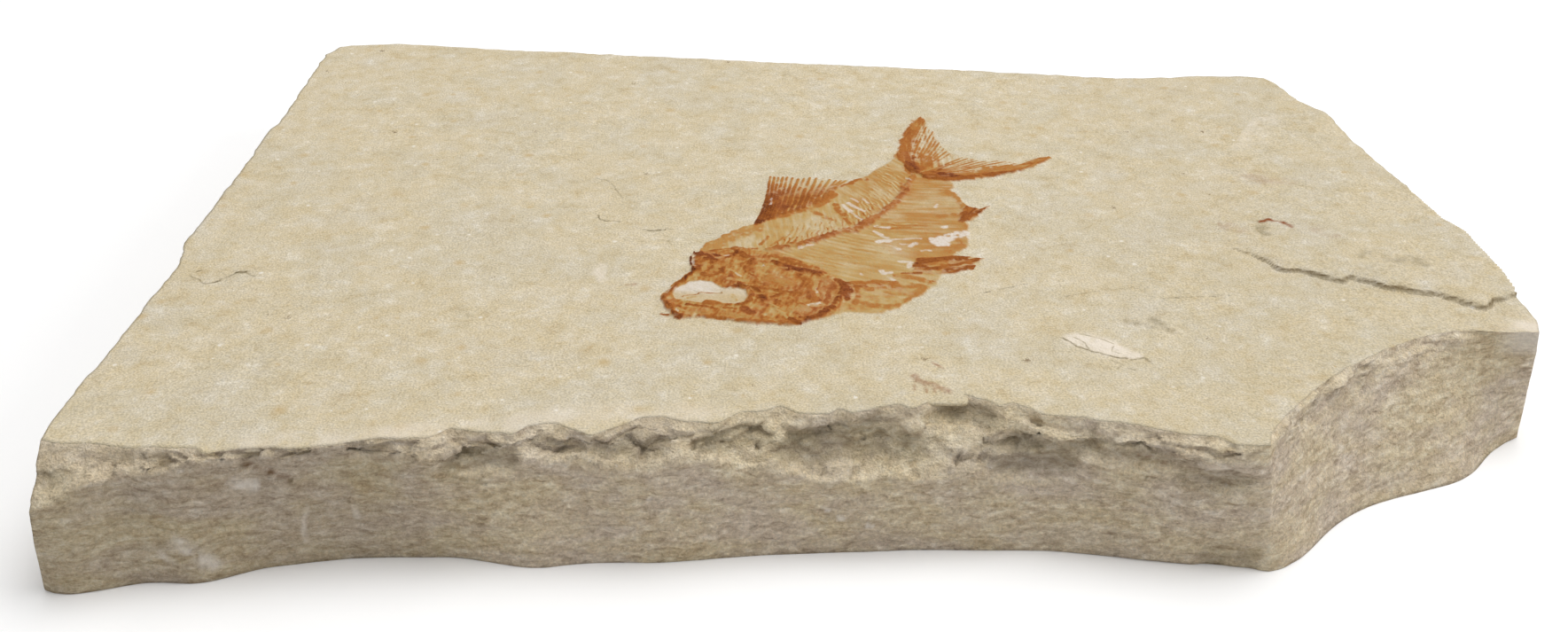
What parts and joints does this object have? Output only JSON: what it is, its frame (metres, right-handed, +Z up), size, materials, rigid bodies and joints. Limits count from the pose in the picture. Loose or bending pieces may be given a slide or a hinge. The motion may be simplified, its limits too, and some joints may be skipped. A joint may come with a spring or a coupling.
{
  "type": "fossil fish slab",
  "caption": "Irregular plate of pale bedded limestone with a small fossil fish preserved in its flat top face; lies flat on its underside.",
  "frame": {"origin": "middle of the slab's box, on the flat underside it rests on", "axes": "+X along the slab's length towards the bitten corner's side, +Y away from the broken near side, +Z up out of the face that carries the fish"},
  "size_m": [0.204, 0.1514, 0.0189],
  "materials": {
    "limestone": "dull split bedding plane and rough broken edges",
    "fossil_bone": "mineralised bone, orange brown with a faint sheen"
  },
  "bodies": {
    "root": {"limestone_slab": "limestone", "fish_fossil": "fossil_bone"}
  },
  "joints": []
}
